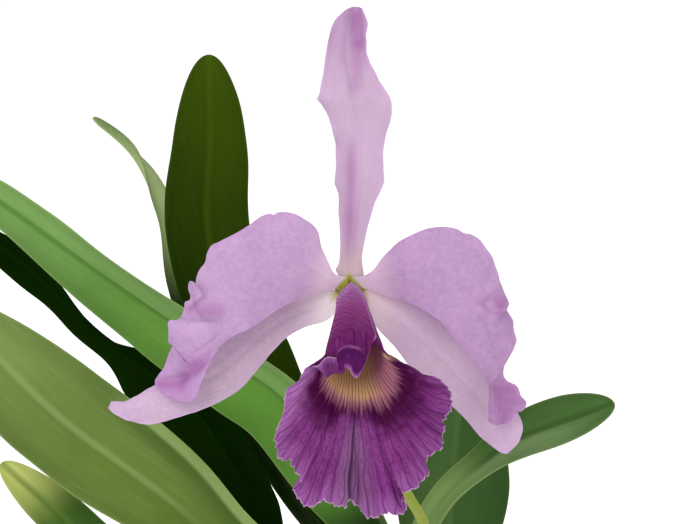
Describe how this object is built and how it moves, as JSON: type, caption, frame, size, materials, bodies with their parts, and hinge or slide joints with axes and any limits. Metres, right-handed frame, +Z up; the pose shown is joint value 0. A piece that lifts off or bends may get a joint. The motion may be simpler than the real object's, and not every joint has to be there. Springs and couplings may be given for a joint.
{
  "type": "potted cattleya orchid",
  "caption": "Potted cattleya orchid in flower, with an open pink bloom and frilled purple lip on its stalk, strap leaves on swollen stems, and a clay pot filled with bark.",
  "frame": {"origin": "centre of the pot's base, on the surface that the pot stands on", "axes": "+Z up along the pot's axis, -Y the way that the bloom faces, +X to the right of the bloom seen from its front"},
  "size_m": [0.245, 0.202, 0.4208],
  "materials": {
    "terracotta": "matte",
    "bark": "matte",
    "rhizome": "matte",
    "pseudobulb": "satin",
    "leaf": "satin",
    "stalk": "satin",
    "sheath": "matte",
    "sepal": "matte",
    "petal": "matte",
    "column": "satin",
    "anther_cap": "satin",
    "lip": "satin"
  },
  "bodies": {
    "root": {"pot": "terracotta", "bark": "bark", "rhizome": "rhizome", "pseudobulb_upright": "pseudobulb", "leaf_upright": "leaf", "pseudobulb_twisted": "pseudobulb", "leaf_twisted": "leaf", "pseudobulb_upper_left": "pseudobulb", "leaf_upper_left": "leaf", "pseudobulb_far_left": "pseudobulb", "leaf_far_left": "leaf", "pseudobulb_lower_left": "pseudobulb", "leaf_lower_left": "leaf", "pseudobulb_low": "pseudobulb", "leaf_low": "leaf", "pseudobulb_right": "pseudobulb", "leaf_right": "leaf", "pseudobulb_rear_right": "pseudobulb", "leaf_rear_right": "leaf", "flower_stalk": "stalk", "flower_sheath": "sheath", "dorsal_sepal": "sepal", "lateral_sepal_left": "sepal", "lateral_sepal_right": "sepal", "petal_left": "petal", "petal_right": "petal", "column": "column", "anther_cap": "anther_cap", "lip": "lip"}
  },
  "joints": []
}
